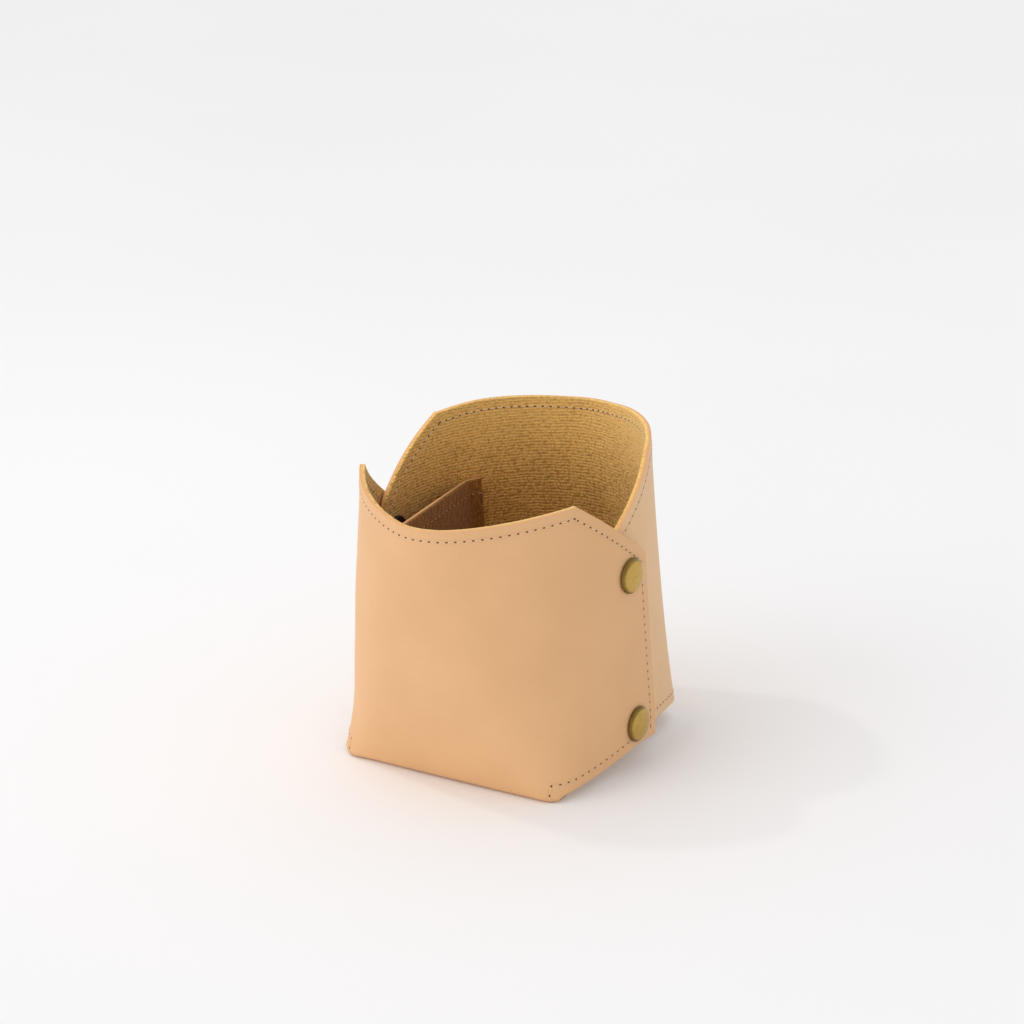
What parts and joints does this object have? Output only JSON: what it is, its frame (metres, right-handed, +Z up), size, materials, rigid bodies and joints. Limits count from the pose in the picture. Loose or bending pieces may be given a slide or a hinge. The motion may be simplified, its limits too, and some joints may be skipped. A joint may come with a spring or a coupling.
{
  "type": "pen holder",
  "caption": "Soft pen holder folded from a lined leather sheet: low front, tall back, overlapping side wings closed by domed snap fasteners, divider inside.",
  "frame": {"origin": "below the middle of the whole box, on the surface that the holder stands on", "axes": "+Z up, +Y towards the tall back panel, +X towards the right-hand wings"},
  "size_m": [0.1, 0.1106, 0.1017],
  "materials": {
    "leather": "smooth tan, satin",
    "lining": "ribbed brown knit, matt",
    "brass": "aged brass, satin",
    "black_metal": "black, satin"
  },
  "bodies": {
    "body": {"body_leather": "leather", "body_lining": "lining", "divider_leather": "leather", "divider_lining": "lining", "right_stud_lower": "brass", "right_stud_upper": "brass", "right_post_lower": "black_metal", "right_post_upper": "black_metal", "left_stud_lower": "brass", "left_stud_upper": "brass", "left_post_lower": "black_metal", "left_post_upper": "black_metal"},
    "right_wing": {"right_wing_leather": "leather", "right_wing_lining": "lining", "right_cap_lower": "brass", "right_cap_upper": "brass", "right_socket_lower": "brass", "right_socket_upper": "brass"},
    "left_wing": {"left_wing_leather": "leather", "left_wing_lining": "lining", "left_cap_lower": "brass", "left_cap_upper": "brass", "left_socket_lower": "brass", "left_socket_upper": "brass"}
  },
  "joints": [
    {"name": "right_wing_fold", "type": "hinge", "parent": "body", "child": "right_wing", "pos_m": [0.03934, -0.03969, 0.005], "axis": [0.0713, -0.034, -0.9969], "range_deg": [0, 90]},
    {"name": "left_wing_fold", "type": "hinge", "parent": "body", "child": "left_wing", "pos_m": [-0.03934, -0.03969, 0.005], "axis": [0.0713, 0.034, 0.9969], "range_deg": [0, 90]}
  ]
}
